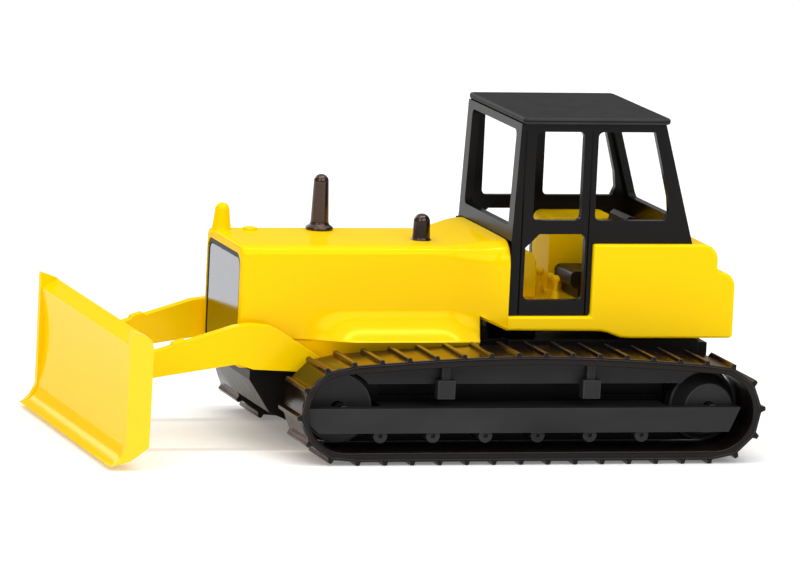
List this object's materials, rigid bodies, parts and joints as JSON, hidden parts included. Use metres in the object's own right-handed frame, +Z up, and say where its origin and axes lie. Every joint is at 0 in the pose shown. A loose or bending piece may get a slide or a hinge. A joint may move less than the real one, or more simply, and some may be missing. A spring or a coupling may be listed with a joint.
{
  "type": "toy bulldozer",
  "caption": "Small toy crawler bulldozer with lifting straight blade on two push arms, open-windowed cab, ribbed tracks and tall exhaust.",
  "frame": {"origin": "on the ground under the middle of the length over the blade and the tracks, in the vehicle's middle plane", "axes": "+X forwards towards the blade, +Y to the driver's left, +Z up"},
  "size_m": [0.0851, 0.046, 0.0421],
  "materials": {
    "yellow_gloss": "gloss",
    "yellow_inner": "semi-gloss",
    "blade_yellow": "gloss",
    "arm_yellow": "gloss",
    "black_satin": "satin",
    "cab_black": "satin",
    "roof_black": "satin, fine texture",
    "black_gloss": "gloss",
    "seat_black": "satin",
    "grille_black": "gloss",
    "grille_silver": "bright foil",
    "steel_pin": "turned",
    "frame_black": "satin",
    "track_black": "gloss",
    "wheel_black": "satin"
  },
  "bodies": {
    "root": {"body_shell": "yellow_gloss", "chassis": "black_satin", "cab_interior": "yellow_inner", "control_console": "yellow_inner", "control_levers": "yellow_inner", "seat": "seat_black", "cab_frame": "cab_black", "cab_roof": "roof_black", "exhaust_stack": "black_gloss", "air_intake": "black_gloss", "grille_surround": "grille_black", "grille_panel": "grille_silver", "arm_pivot_pins": "steel_pin", "idler_axle": "steel_pin", "sprocket_axle": "steel_pin", "track_frame_left": "frame_black", "track_frame_right": "frame_black", "track_rollers_left": "frame_black", "track_rollers_right": "frame_black", "carrier_brackets_left": "frame_black", "carrier_brackets_right": "frame_black", "track_belt_left": "track_black", "track_belt_right": "track_black"},
    "blade_unit": {"blade": "blade_yellow", "push_arm_left": "arm_yellow", "push_arm_right": "arm_yellow"},
    "idler_l": {"idler_left": "wheel_black"},
    "idler_r": {"idler_right": "wheel_black"},
    "sprocket_l": {"sprocket_left": "wheel_black"},
    "sprocket_r": {"sprocket_right": "wheel_black"}
  },
  "joints": [
    {"name": "blade_lift", "type": "hinge", "parent": "root", "child": "blade_unit", "pos_m": [0.009, 0, 0.0085], "axis": [0, -1, 0], "range_deg": [-0.9, 18]},
    {"name": "sprocket_left_spin", "type": "hinge", "parent": "root", "child": "sprocket_l", "pos_m": [-0.03595, 0.0148, 0.00645], "axis": [0, 1, 0], "continuous": true},
    {"name": "idler_left_spin", "type": "hinge", "parent": "root", "child": "idler_l", "pos_m": [0.01195, 0.014, 0.00645], "axis": [0, 1, 0], "continuous": true},
    {"name": "sprocket_right_spin", "type": "hinge", "parent": "root", "child": "sprocket_r", "pos_m": [-0.03595, -0.0148, 0.00645], "axis": [0, 1, 0], "continuous": true},
    {"name": "idler_right_spin", "type": "hinge", "parent": "root", "child": "idler_r", "pos_m": [0.01195, -0.014, 0.00645], "axis": [0, 1, 0], "continuous": true}
  ],
  "couplings": [
    {"joint": "idler_left_spin", "follows": "sprocket_left_spin", "ratio": 1},
    {"joint": "idler_right_spin", "follows": "sprocket_right_spin", "ratio": 1}
  ]
}
